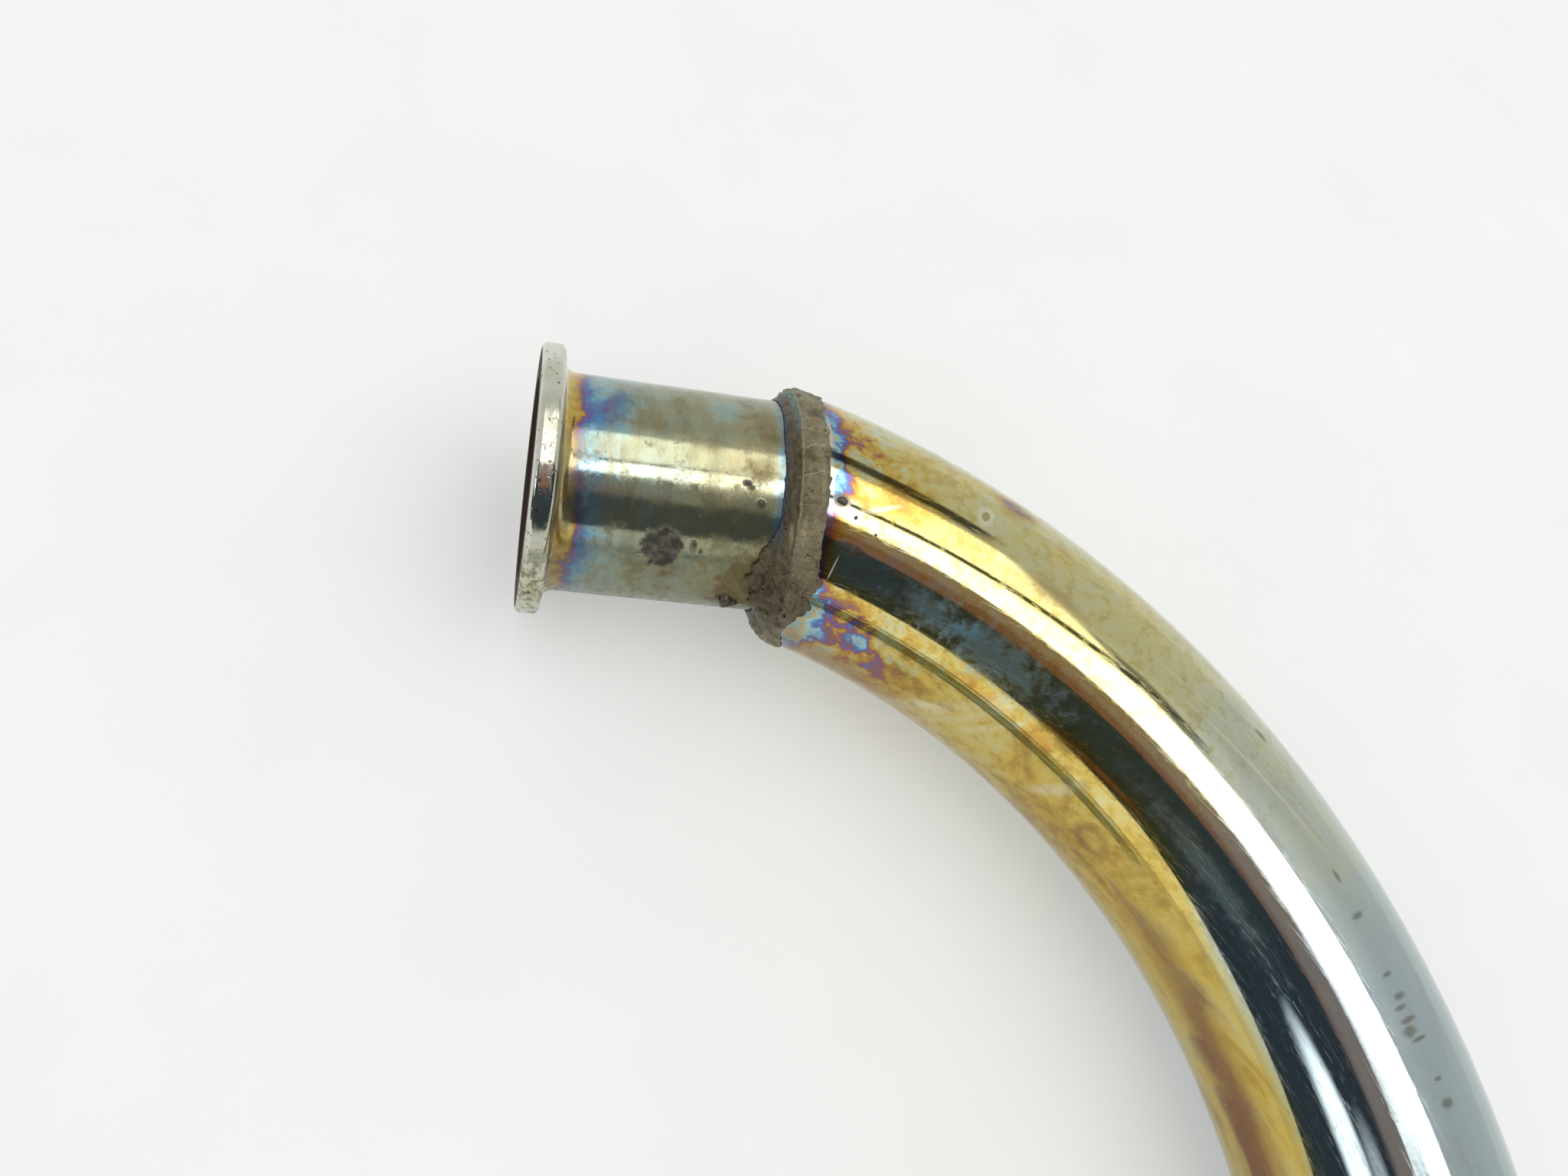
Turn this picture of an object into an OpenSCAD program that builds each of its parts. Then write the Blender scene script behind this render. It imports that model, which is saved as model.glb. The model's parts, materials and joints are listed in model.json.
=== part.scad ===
// Exhaust header of a single-cylinder motorcycle: a flanged port spigot welded into
// the mouth of a chromed pipe that is bent down and back to the silencer.
// Origin: centre of the spigot's mouth, on the front face of its lip.
// +X runs into the header along the spigot, the bends turn towards -Y, and +Z is up
// as the header lies on its side.

/* [Port spigot] */
// Outside diameter of the spigot tube
spigot_od = 38.1; // [32:0.1:40]
// Wall of the spigot tube
spigot_wall = 1.6; // [1:0.1:3]
// Outside diameter of the lip that the port clamp pulls on
lip_od = 47; // [44:0.5:54]
// Thickness of the lip along the spigot
lip_t = 4; // [3:0.1:8]
// Rounding of the lip's two rim edges
lip_edge_r = 1; // [0.5:0.1:1.5]
// Hollow fillet between the back of the lip and the tube
lip_fillet_r = 2.2; // [0.5:0.1:3]
// Distance from the lip's face to where the spigot's axis meets the pipe's
spigot_reach = 39.8; // [30:0.1:80]
// How far the spigot tube runs on inside the pipe
spigot_tuck = 1; // [0:0.1:1.2]

/* [Pipe] */
// Outside diameter of the pipe
pipe_od = 44; // [43:0.1:46]
// Wall of the pipe
pipe_wall = 1.5; // [1:0.1:1.7]
// Angle between the spigot's axis and the start of the pipe
joint_angle = 13.5; // [10:0.5:18]
// Distance past the meeting point of the axes at which the pipe is cut square to the spigot
joint_step = 4.5; // [3:0.1:5]
// Centre-line radius of the front bend, which ends square to the spigot
front_bend_r = 148; // [110:1:200]
// Length of the straight down tube
down_tube_l = 90; // [20:1:200]
// Centre-line radius of the lower bend, which ends parallel to the spigot
lower_bend_r = 110; // [80:1:160]
// Length of the straight tail that enters the silencer
tail_l = 150; // [60:1:300]

/* [Weld] */
// Width of the weld on the spigot, from its toe to the pipe's cut end
weld_toe_w = 3.3; // [2:0.1:4]
// Width of the weld band that lies on the pipe
weld_band_w = 3.7; // [3:0.1:8]
// Height of the weld's ridge above the pipe's surface
weld_ridge_h = 0.2; // [0.1:0.05:1.2]
// Thickness of the band at its sharp outer edge
weld_edge_h = 0.24; // [0.1:0.02:0.6]
// Height of the solidified ripples along the ridge
weld_ripple_h = 0.14; // [0:0.02:0.3]
// Number of ripples round the joint
weld_ripples = 36; // [20:1:60]
// How far the heaped weld near the inside of the bend spreads over the spigot
weld_heap_w = 4; // [0:0.1:6]
// Extra height of that heap
weld_heap_h = 0.3; // [0:0.05:1.5]

/* [Hidden] */
$fn = 96;

spigot_r = spigot_od / 2;
spigot_bore_r = spigot_r - spigot_wall;
lip_r = lip_od / 2;
pipe_r = pipe_od / 2;
pipe_bore_r = pipe_r - pipe_wall;
cut_x = spigot_reach + joint_step;
spigot_l = cut_x + spigot_tuck;

// The pipe is drawn on past its square-cut end, and the cut then ends it.
lead_in_angle = 6;
front_centre = [
    spigot_reach - front_bend_r * sin(joint_angle),
    -front_bend_r * cos(joint_angle),
    0,
];

// Angles round the joint are counted from the outside of the bend (+Y) towards +Z.
heap_at = 155;
heap_spread = 38;
// The ridge stands this far past the pipe's cut end.
ridge_setback = 0.3;
// The band runs out early beside the heap, at the very inside of the bend.
runout_at = 174;
runout_spread = 26;
runout = 0.75;
sections_per_ripple = 4;
face_steps = 5;
band_steps = 4;
toe_waver = 0.3;
edge_waver = 0.35;
band_waver = 0.07;
// The face between toe and ridge swings from hollow to rounded by this share, and bellies out in the heap.
face_swing = 0.7;
heap_belly = 0.8;
// Room left to the tubes, so that the band's flat facets stay clear of their round surfaces.
weld_fit = 0.015;

// A point on or about the pipe in its front bend: `turn` is the pipe's heading there, clockwise
// from +X, `around` the angle round the pipe and `radius` the distance from its centre line.
function on_pipe(turn, around, radius) =
    let (reach = front_bend_r + radius * cos(around))
    front_centre + [reach * sin(turn), reach * cos(turn), radius * sin(around)];
function on_spigot(x, around, radius) = [x, radius * cos(around), radius * sin(around)];
// Heading at which a line along the pipe meets the square cut.
function cut_turn(around, radius) =
    asin((cut_x - front_centre.x) / (front_bend_r + radius * cos(around)));
function turned_by(length) = length / front_bend_r * 180 / PI;

// 1 at one angle round the joint, falling smoothly to 0 at `spread` from it.
function swell(around, at, spread) =
    let (off = abs(around - at), t = min(off, 360 - off) / spread)
    t >= 1 ? 0 : (1 + cos(180 * t)) / 2;
// The slow unevenness of a hand-laid bead, from about -1 to 1.
function waver(around, seed) =
    (sin(3 * around + 40 * seed) + 0.7 * sin(7 * around + 95 * seed) + 0.5 * sin(11 * around + 151 * seed)) / 2.2;
function ripple(around) = abs(sin(around * weld_ripples / 2));

module pipe_wall_section() {
    difference() {
        circle(pipe_r);
        circle(pipe_bore_r);
    }
}

// A bend about the local origin, from a heading through an angle, with its section as children.
module bend(radius, from, angle) {
    rotate(90 - from - angle)
        rotate_extrude(angle = angle)
            translate([radius, 0])
                children();
}

// The whole pipe about the front bend's centre: bend, down tube, lower bend and tail.
module pipe_run() {
    bend(front_bend_r, joint_angle - lead_in_angle, 90 - joint_angle + lead_in_angle)
        children();
    translate([front_bend_r, 0])
        rotate([90, 0])
            linear_extrude(down_tube_l)
                children();
    translate([front_bend_r - lower_bend_r, -down_tube_l]) {
        bend(lower_bend_r, 90, 90)
            children();
        translate([0, -lower_bend_r])
            rotate([0, -90])
                linear_extrude(tail_l)
                    rotate(90)
                        children();
    }
}

// Everything on the spigot's side of the pipe's square-cut end.
module before_cut() {
    size = 4 * pipe_od;
    translate([cut_x - size, -size / 2, -size / 2])
        cube(size);
}

// Half section of the spigot, with its axis along Y: rounded lip, hollow fillet and straight tube.
module spigot_profile() {
    difference() {
        union() {
            square([spigot_r, spigot_l]);
            square([lip_r - lip_edge_r, lip_t]);
            translate([0, lip_edge_r])
                square([lip_r, lip_t - 2 * lip_edge_r]);
            for (y = [lip_edge_r, lip_t - lip_edge_r])
                translate([lip_r - lip_edge_r, y])
                    circle(lip_edge_r);
            difference() {
                square([spigot_r + lip_fillet_r, lip_t + lip_fillet_r]);
                translate([spigot_r + lip_fillet_r, lip_t + lip_fillet_r])
                    circle(lip_fillet_r);
            }
        }
        translate([-1, -1])
            square([spigot_bore_r + 1, spigot_l + 2]);
    }
}

module port_spigot() {
    color("silver")
        rotate([90, 0, 90])
            rotate_extrude()
                spigot_profile();
}

module header_pipe() {
    color("gainsboro")
        difference() {
            translate(front_centre)
                pipe_run()
                    pipe_wall_section();
            before_cut();
        }
}

// One section of the weld at an angle round the joint: from its toe on the spigot up a hollow,
// then rounded face to the ridge, along the band to its sharp edge, and back down both tubes.
function weld_section(around) =
    let (
        heap = swell(around, heap_at, heap_spread),
        shrink = runout * swell(around, runout_at, runout_spread),
        toe_x = cut_x - weld_toe_w - weld_heap_w * heap + toe_waver * waver(around, 1),
        cut = cut_turn(around, pipe_r),
        ridge_turn = cut + turned_by(ridge_setback),
        ridge_r = pipe_r + weld_ridge_h + weld_heap_h * heap + weld_ripple_h * ripple(around),
        band_w = weld_band_w * (1 + 0.2 * heap - shrink) + edge_waver * waver(around, 2),
        edge_turn = ridge_turn + turned_by(band_w),
        edge_r = pipe_r + weld_edge_h,
        toe = on_spigot(toe_x, around, spigot_r + weld_fit),
        ridge = on_pipe(ridge_turn, around, ridge_r),
        face = [for (i = [1:face_steps - 1])
            let (t = i / face_steps, swing = face_swing * t * (1 - t) * (2 * t - 1))
            toe + t * (ridge - toe)
                + on_spigot(0, around, (ridge_r - spigot_r) * swing + heap_belly * heap * sin(180 * t))],
        band = [for (i = [1:band_steps])
            let (t = i / band_steps, bump = band_waver * sin(180 * t) * waver(around, 3 + i))
            on_pipe(ridge_turn + t * (edge_turn - ridge_turn), around, ridge_r + t * (edge_r - ridge_r) + bump)],
        under = [for (i = [band_steps:-2:0])
            on_pipe(cut + i / band_steps * (edge_turn - cut), around, pipe_r + weld_fit)],
        root = on_spigot(cut_x - weld_fit, around, spigot_r + weld_fit)
    )
    concat([toe], face, [ridge], band, under, [root]);

// A closed ring of sections, joined by triangles.
module joint_weld() {
    n = weld_ripples * sections_per_ripple;
    loops = [for (i = [0:n - 1]) weld_section(i * 360 / n)];
    m = len(loops[0]);
    corner = function (i, j) (i % n) * m + j % m;
    faces = [for (i = [0:n - 1], j = [0:m - 1])
        each [
            [corner(i, j), corner(i, j + 1), corner(i + 1, j + 1)],
            [corner(i, j), corner(i + 1, j + 1), corner(i + 1, j)],
        ]];
    color("dimgray")
        polyhedron([for (loop = loops) each loop], faces, convexity = 6);
}

port_spigot();
header_pipe();
joint_weld();
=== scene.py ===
"""Looks of a bent motorcycle exhaust header: heat-tinted chrome, a worn port lip and a hand-laid weld.

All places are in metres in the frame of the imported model: the spigot's mouth is at the origin, +X runs into
the header and the bends turn towards -Y. Angles round the tubes are counted in degrees from the outside of
the bends (+Y) towards +Z, and places along the pipe in degrees of its front bend.
"""

import json
import math

import bpy
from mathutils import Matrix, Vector, noise

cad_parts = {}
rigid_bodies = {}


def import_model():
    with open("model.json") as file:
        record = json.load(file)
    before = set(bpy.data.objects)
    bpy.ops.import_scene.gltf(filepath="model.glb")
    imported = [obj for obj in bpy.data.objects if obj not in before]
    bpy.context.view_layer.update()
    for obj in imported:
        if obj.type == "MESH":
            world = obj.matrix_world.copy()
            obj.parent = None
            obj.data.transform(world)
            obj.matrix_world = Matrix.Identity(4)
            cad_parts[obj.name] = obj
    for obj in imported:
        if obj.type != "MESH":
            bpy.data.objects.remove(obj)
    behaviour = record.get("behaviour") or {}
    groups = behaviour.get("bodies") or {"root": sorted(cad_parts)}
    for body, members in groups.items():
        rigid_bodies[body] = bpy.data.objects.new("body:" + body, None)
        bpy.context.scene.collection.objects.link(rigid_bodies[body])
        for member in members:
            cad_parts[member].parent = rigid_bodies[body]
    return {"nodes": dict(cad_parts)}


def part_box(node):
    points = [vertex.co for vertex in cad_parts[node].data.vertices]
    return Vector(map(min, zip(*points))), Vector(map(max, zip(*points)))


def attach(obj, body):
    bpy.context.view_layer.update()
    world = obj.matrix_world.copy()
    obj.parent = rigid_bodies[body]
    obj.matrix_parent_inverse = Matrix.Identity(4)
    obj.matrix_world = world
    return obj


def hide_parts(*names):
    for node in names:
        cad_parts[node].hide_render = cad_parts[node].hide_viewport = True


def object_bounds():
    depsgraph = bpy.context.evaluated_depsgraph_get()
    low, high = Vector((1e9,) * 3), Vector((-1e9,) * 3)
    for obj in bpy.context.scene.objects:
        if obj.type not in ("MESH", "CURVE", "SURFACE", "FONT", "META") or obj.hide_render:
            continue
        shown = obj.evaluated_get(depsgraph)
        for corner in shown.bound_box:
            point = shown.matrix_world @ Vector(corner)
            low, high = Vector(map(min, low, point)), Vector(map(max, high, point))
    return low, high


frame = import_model()
cad_low, cad_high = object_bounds()

# Camera of the photograph
CAMERA_PLACE = (-0.00523, -0.09522, 0.19531)
CAMERA_TURN = (21.395, -14.938, 0.505)
CAMERA_LENS = 28.006

# Main sizes of the header
SPIGOT_R = 0.01905
LIP_BACK = 0.004
SPIGOT_REACH = 0.0398
JOINT_STEP = 0.0045
JOINT_ANGLE = 13.5
FRONT_BEND_R = 0.148
DOWN_TUBE = 0.090
LOWER_BEND_R = 0.110
PIPE_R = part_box("header_pipe")[1].z
PIPE_BORE_R = PIPE_R - 0.0015
SPIGOT_BORE_R = SPIGOT_R - 0.0016
CUT_X = SPIGOT_REACH + JOINT_STEP
FRONT_CENTRE = Vector((
    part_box("header_pipe")[1].x - PIPE_R - FRONT_BEND_R,
    -FRONT_BEND_R * math.cos(math.radians(JOINT_ANGLE)),
    0,
))
LOWER_CENTRE = FRONT_CENTRE + Vector((FRONT_BEND_R - LOWER_BEND_R, -DOWN_TUBE, 0))
FLOOR_Z = cad_low.z
# Y of the axis that degrees round the weld are counted about, between the axes of both tubes
WELD_AXIS_Y = -0.0008
# Millimetres in a metre
MM = 1000
# Marks along the pipe lean by this many radians round it for each degree of turn.
MARK_TWIST = 0.012


def on_pipe(turn, around, radius):
    """A point on or about the pipe's front bend."""
    turn, around = math.radians(turn), math.radians(around)
    reach = FRONT_BEND_R + radius * math.cos(around)
    return FRONT_CENTRE + Vector((reach * math.sin(turn), reach * math.cos(turn), radius * math.sin(around)))


def on_spigot(along, around, radius):
    """A point on or about the spigot."""
    around = math.radians(around)
    return Vector((along, radius * math.cos(around), radius * math.sin(around)))


# Node trees


class Tree:
    """Adds nodes to one tree. Any input takes a number, a colour or another node's socket."""

    def __init__(self, nodes):
        self.nodes = nodes

    def feed(self, socket, value):
        if isinstance(value, bpy.types.NodeSocket):
            self.nodes.links.new(value, socket)
        elif isinstance(value, tuple) and len(value) == 3 and socket.type == "RGBA":
            socket.default_value = (*value, 1)
        else:
            socket.default_value = value

    def add(self, kind, inputs=(), **settings):
        node = self.nodes.nodes.new(kind)
        for name, value in settings.items():
            setattr(node, name, value)
        for name, value in dict(inputs).items():
            self.feed(node.inputs[name], value)
        return node

    def math(self, operation, *values):
        node = self.add("ShaderNodeMath", operation=operation)
        for socket, value in zip(node.inputs, values):
            self.feed(socket, value)
        return node.outputs[0]

    def sum(self, total, *values):
        for value in values:
            total = self.math("ADD", total, value)
        return total

    def times(self, product, *values):
        for value in values:
            product = self.math("MULTIPLY", product, value)
        return product

    def minus(self, value, taken):
        return self.math("SUBTRACT", value, taken)

    def over(self, value, divisor):
        return self.math("DIVIDE", value, divisor)

    def length(self, a, b):
        return self.math("SQRT", self.sum(self.times(a, a), self.times(b, b)))

    def degrees_round(self, y, z):
        """Degrees from +Y towards +Z, from 0 to 360."""
        return self.math("WRAP", self.math("DEGREES", self.math("ARCTAN2", z, y)), 360.0, 0.0)

    def smooth(self, value, low, high):
        """0 below low and 1 above high, or the other way round where low is above high."""
        at_low, at_high = (1.0, 0.0) if low > high else (0.0, 1.0)
        return self.add("ShaderNodeMapRange", {
            "Value": value, "From Min": min(low, high), "From Max": max(low, high),
            "To Min": at_low, "To Max": at_high,
        }, interpolation_type="SMOOTHSTEP").outputs["Result"]

    def near(self, value, place, outer, inner):
        """1 where the value is within inner of a place, falling to 0 at outer from it."""
        return self.smooth(self.math("ABSOLUTE", self.minus(value, place)), outer, inner)

    def mix(self, factor, first, second, blend="MIX"):
        node = self.add("ShaderNodeMix", data_type="RGBA", blend_type=blend)
        self.feed(node.inputs[0], factor)
        self.feed(node.inputs[6], first)
        self.feed(node.inputs[7], second)
        return node.outputs[2]

    def blend(self, factor, first, second):
        node = self.add("ShaderNodeMix", data_type="FLOAT")
        self.feed(node.inputs[0], factor)
        self.feed(node.inputs[2], first)
        self.feed(node.inputs[3], second)
        return node.outputs[0]

    def ramp(self, value, stops):
        node = self.add("ShaderNodeValToRGB", {"Fac": value})
        ramp = node.color_ramp
        while len(ramp.elements) < len(stops):
            ramp.elements.new(1.0)
        for element, (place, colour) in zip(ramp.elements, stops):
            element.position = place
            element.color = (*colour, 1)
        return node.outputs["Color"]

    def split(self, vector):
        return self.add("ShaderNodeSeparateXYZ", {"Vector": vector}).outputs

    def noise(self, place, size, detail=3.0, roughness=0.55, distortion=0.0, stretch=(1, 1, 1)):
        """Cloudy noise from 0 to 1 with features of about this size in metres."""
        scaled = self.add("ShaderNodeMapping", {"Vector": place, "Scale": stretch}).outputs[0]
        return self.add("ShaderNodeTexNoise", {
            "Vector": scaled, "Scale": 1 / size, "Detail": detail,
            "Roughness": roughness, "Distortion": distortion,
        }).outputs["Fac"]

    def bump(self, height, strength, distance):
        inputs = {"Height": height, "Strength": strength, "Distance": distance}
        return self.add("ShaderNodeBump", inputs).outputs[0]

    def group(self, group, **inputs):
        """Adds a node group. In an input's name each blank is written as _."""
        named = {name.replace("_", " "): value for name, value in inputs.items()}
        return self.add("ShaderNodeGroup", named, node_tree=group).outputs


def new_group(name, inputs, outputs):
    """A node group whose sockets are given as label and kind, and its tree, inputs and outputs."""
    group = bpy.data.node_groups.new(name, "ShaderNodeTree")
    for side, sockets in (("INPUT", inputs), ("OUTPUT", outputs)):
        for label, kind in sockets.items():
            group.interface.new_socket(label, in_out=side, socket_type="NodeSocket" + kind)
    tree = Tree(group)
    return group, tree, tree.add("NodeGroupInput").outputs, tree.add("NodeGroupOutput").inputs


def pipe_places():
    """Where a point of the pipe lies: along it, round it, and its distance in mm from the centre line."""
    group, t, given, out = new_group(
        "pipe_places", {"Position": "Vector"}, {"Turn": "Float", "Around": "Float", "Radius": "Float"}
    )
    x, y, z = t.split(given["Position"])
    # Kept off 0, where the direction from the bend's centre would be lost.
    least_x = 0.001
    front_x = t.math("MAXIMUM", t.minus(x, FRONT_CENTRE.x), least_x)
    front_y = t.math("MAXIMUM", t.minus(y, FRONT_CENTRE.y), 0.0)
    lower_x = t.math("MAXIMUM", t.minus(x, LOWER_CENTRE.x), 0.0)
    lower_y = t.math("MAXIMUM", t.minus(LOWER_CENTRE.y, y), 0.0)
    is_lower = t.math("GREATER_THAN", lower_y, 0.0)

    def off_centre_line(a, b, bend_r):
        return t.minus(t.length(a, b), bend_r)

    off = t.blend(
        is_lower,
        off_centre_line(front_x, front_y, FRONT_BEND_R),
        off_centre_line(lower_x, lower_y, LOWER_BEND_R),
    )
    front_turn = t.math("DEGREES", t.math("ARCTAN2", front_x, front_y))
    down = t.math("MINIMUM", t.math("MAXIMUM", t.minus(FRONT_CENTRE.y, y), 0.0), DOWN_TUBE)
    lower_turn = t.times(t.math("ARCTAN2", lower_y, lower_x), is_lower)
    tail = t.times(t.math("MAXIMUM", t.minus(LOWER_CENTRE.x, x), 0.0), is_lower)
    past_bend = t.sum(down, t.times(lower_turn, LOWER_BEND_R), tail)
    t.feed(out["Turn"], t.sum(front_turn, t.times(past_bend, 180 / math.pi / FRONT_BEND_R)))
    t.feed(out["Around"], t.degrees_round(off, z))
    t.feed(out["Radius"], t.times(t.length(off, z), MM))
    return group


def spigot_places():
    """Where a point of the spigot lies: mm along it, degrees round it, and its distance in mm from the axis."""
    group, t, given, out = new_group(
        "spigot_places", {"Position": "Vector"}, {"Along": "Float", "Around": "Float", "Radius": "Float"}
    )
    x, y, z = t.split(given["Position"])
    t.feed(out["Along"], t.times(x, MM))
    t.feed(out["Around"], t.degrees_round(y, z))
    t.feed(out["Radius"], t.times(t.length(y, z), MM))
    return group


def patch():
    """A soft oval patch on a tube, with a ragged rim. Tilt leans it: degrees round for each unit along."""
    labels = (
        "Along", "Around", "Ragged", "At Along", "At Around", "Half Along", "Half Around",
        "Softness", "Raggedness", "Tilt",
    )
    group, t, given, out = new_group("patch", dict.fromkeys(labels, "Float"), {"Mask": "Float"})
    off_along = t.minus(given["Along"], given["At Along"])
    off_around = t.minus(t.minus(given["Around"], given["At Around"]), t.times(off_along, given["Tilt"]))
    away = t.length(t.over(off_along, given["Half Along"]), t.over(off_around, given["Half Around"]))
    uneven = t.times(t.minus(given["Ragged"], 0.5), given["Raggedness"])
    mask = t.add("ShaderNodeMapRange", {
        "Value": t.sum(away, uneven),
        "From Min": t.minus(1.0, given["Softness"]), "From Max": t.sum(1.0, given["Softness"]),
        "To Min": 1.0, "To Max": 0.0,
    }, interpolation_type="SMOOTHSTEP").outputs["Result"]
    t.feed(out["Mask"], mask)
    return group


def temper_colour():
    """Colour of chrome under its heat film: clean, straw, purple and blue, then second-order teal."""
    group, t, given, out = new_group("temper_colour", {"Film": "Float"}, {"Color": "Color"})
    t.feed(out["Color"], t.ramp(given["Film"], [
        (0.00, (0.38, 0.45, 0.47)),
        (0.12, (0.50, 0.52, 0.40)),
        (0.22, (0.55, 0.50, 0.23)),
        (0.31, (0.56, 0.41, 0.10)),
        (0.39, (0.46, 0.26, 0.06)),
        (0.46, (0.28, 0.12, 0.12)),
        (0.53, (0.17, 0.12, 0.33)),
        (0.60, (0.09, 0.21, 0.44)),
        (0.68, (0.22, 0.45, 0.58)),
        (0.76, (0.38, 0.52, 0.49)),
        (0.84, (0.42, 0.41, 0.23)),
        (0.92, (0.48, 0.33, 0.17)),
        (1.00, (0.26, 0.38, 0.35)),
    ]))
    return group


PIPE_PLACES = pipe_places()
SPIGOT_PLACES = spigot_places()
PATCH = patch()
TEMPER_COLOUR = temper_colour()


def patches(t, along, around, ragged, spots):
    """The sum of several patches. A spot is its place along and round, its half size along and round,
    its strength, softness and raggedness, and its tilt where it leans."""
    total = 0.0
    for at_along, at_around, half_along, half_around, strength, softness, raggedness, *tilt in spots:
        mask = t.group(
            PATCH, Along=along, Around=around, Ragged=ragged, At_Along=at_along, At_Around=at_around,
            Half_Along=half_along, Half_Around=half_around, Softness=softness, Raggedness=raggedness,
            Tilt=tilt[0] if tilt else 0.0,
        )["Mask"]
        total = t.sum(total, t.times(mask, strength))
    return total


def in_bore(t, radius, bore_r):
    """1 on the wall of a bore and 0 on the tube's outside, from the radius in mm and the bore's in metres."""
    return t.smooth(radius, MM * (bore_r + 0.0006), MM * (bore_r + 0.0002))


def new_material(name):
    """A material, its tree, the inputs of its Principled shader and the place on the object."""
    material = bpy.data.materials.new(name)
    material.use_nodes = True
    material.node_tree.nodes.clear()
    t = Tree(material.node_tree)
    shader = t.add("ShaderNodeBsdfPrincipled")
    output = t.add("ShaderNodeOutputMaterial")
    material.node_tree.links.new(shader.outputs[0], output.inputs[0])
    position = t.add("ShaderNodeTexCoord").outputs["Object"]
    return material, t, shader.inputs, position


# Chrome of the pipe. Patches give turn, around, half turn, half around, strength, softness and raggedness.

# Thicker or thinner heat film
PIPE_FILM_SPOTS = [
    (19.3, 160, 2.1, 15, 0.40, 0.5, 1.8),
    (23.9, 158, 0.7, 3.5, 0.26, 0.6, 2.4),
    (25.5, 169, 2.6, 6, 0.12, 0.7, 3.0, 2.0),
    (22.6, 150, 2.6, 8, 0.10, 0.7, 2.6),
    (16.9, 66, 1.5, 12, 0.22, 0.6, 2.8),
    (20.5, 78, 3.5, 16, 0.08, 0.7, 2.4),
    (18.0, 92, 1.0, 8, 0.16, 0.6, 2.8),
    (29.2, 54, 1.1, 7, 0.12, 0.7, 2.6),
    (34.4, 145, 1.6, 3, 0.10, 0.8, 2.8),
    (22, 94, 9, 11, 0.08, 0.8, 1.4),
    (27, 128, 12, 11, -0.10, 0.7, 1.4),
]
# Where the heat broke the film up into islands
BROKEN_FILM = [
    (23.0, 164, 5.5, 20, 0.42, 0.7, 1.6),
    (18.5, 74, 2.6, 22, 0.34, 0.7, 1.6),
    (28.5, 60, 5.0, 22, 0.10, 0.8, 1.6),
    (29.2, 54, 1.6, 8, 0.25, 0.7, 1.6),
    (35, 146, 12, 4, 0.16, 0.8, 1.6),
]
# Brown smoke haze on the inside of the bend
SMOKE_HAZE = [
    (68, 171, 15, 9, 0.80, 0.7, 3.4),
    (96, 176, 22, 16, 0.50, 0.8, 2.0),
    (47.6, 164, 1.6, 8, 0.75, 0.35, 1.6),
    (47.8, 163, 1.0, 5, -0.60, 0.5, 1.6),
    (44.3, 160, 1.5, 2.4, 0.28, 0.8, 3.0, 8.0),
    (40.0, 158, 1.7, 2.8, 0.34, 0.8, 3.0, 6.0),
    (38.2, 154, 1.2, 2.0, 0.25, 0.8, 3.0, 6.0),
    (23, 184, 6, 13, 0.60, 0.7, 1.8),
    (33.5, 90, 1.8, 4, 0.35, 0.6, 2.6),
]
# Worn pale streaks and swirls, and the pale rings round two spots
WORN_STREAKS = [
    (32.0, 168, 2.2, 5.5, 0.36, 0.9, 4.6, -7.0),
    (34.0, 164, 1.5, 2.6, 0.26, 0.9, 4.6, -10.0),
    (30.8, 172, 1.3, 3.0, 0.24, 0.9, 4.6, -5.0),
    (36.2, 157, 1.2, 2.2, 0.22, 0.9, 4.6, -8.0),
    (42.6, 162, 1.0, 5.0, 0.40, 0.8, 3.0, -9.0),
    (27.4, 74, 0.55, 6, 0.75, 0.35, 0.5),
    (50, 82, 4.5, 0.7, 0.7, 0.7, 1.8, -0.6),
    (45, 78, 4, 0.5, 0.4, 0.7, 1.8, -0.6),
    (54, 74, 4, 0.5, 0.4, 0.7, 1.8, -0.3),
    (19.0, 104, 1.0, 4.5, 0.75, 0.4, 2.6),
    (20.8, 99, 1.2, 1.6, 0.6, 0.5, 2.6, -5.0),
    (20.2, 119.4, 1.3, 3.2, 0.75, 0.3, 0.5),
]
# Gold left inside the first of those rings
RING_CENTRE = (27.4, 74, 0.28, 3.0, 0.9, 0.3, 0.5)
# Small dark drip marks on the clean side: turn, around, half turn, half around
DRIP_MARKS = [
    (61.2, 82, 0.18, 3), (64.9, 84, 0.14, 2.5), (66.3, 84, 0.20, 3), (66.9, 86, 0.14, 3),
    (67.7, 85, 0.16, 4), (68.3, 87, 0.30, 3.5), (68.9, 84, 0.10, 3.5), (71.3, 84, 0.12, 2),
    (72.7, 84.5, 0.28, 3), (58.6, 80, 0.4, 1.2), (49.6, 62, 0.5, 1.5),
]
DARK_SMUDGES = [
    *((*mark, 0.70, 0.6, 1.6) for mark in DRIP_MARKS),
    (29.2, 54, 1.3, 8, 0.45, 0.7, 2.6),
    (20.2, 119.4, 1.0, 2.2, 0.85, 0.4, 0.8),
    (18.3, 102, 0.55, 3.2, 0.9, 0.3, 0.6),
]
# Dull bluish bloom on the polished plate
BLUE_BLOOM = [
    (33.0, 128, 4.5, 9, 0.70, 0.6, 4.5),
    (27.5, 127, 2.5, 7, 0.50, 0.6, 4.5),
    (54, 128, 6, 4, 0.45, 0.6, 3.0),
]
# A scratch through the chrome
GOUGE = (19.6, 130, 0.06, 6, 1.0, 0.3, 0.2)
# A pale strip follows the weld's edge on the outside of the bend, this many mm past the pipe's cut end.
PALE_STRIP = 4.25


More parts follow.
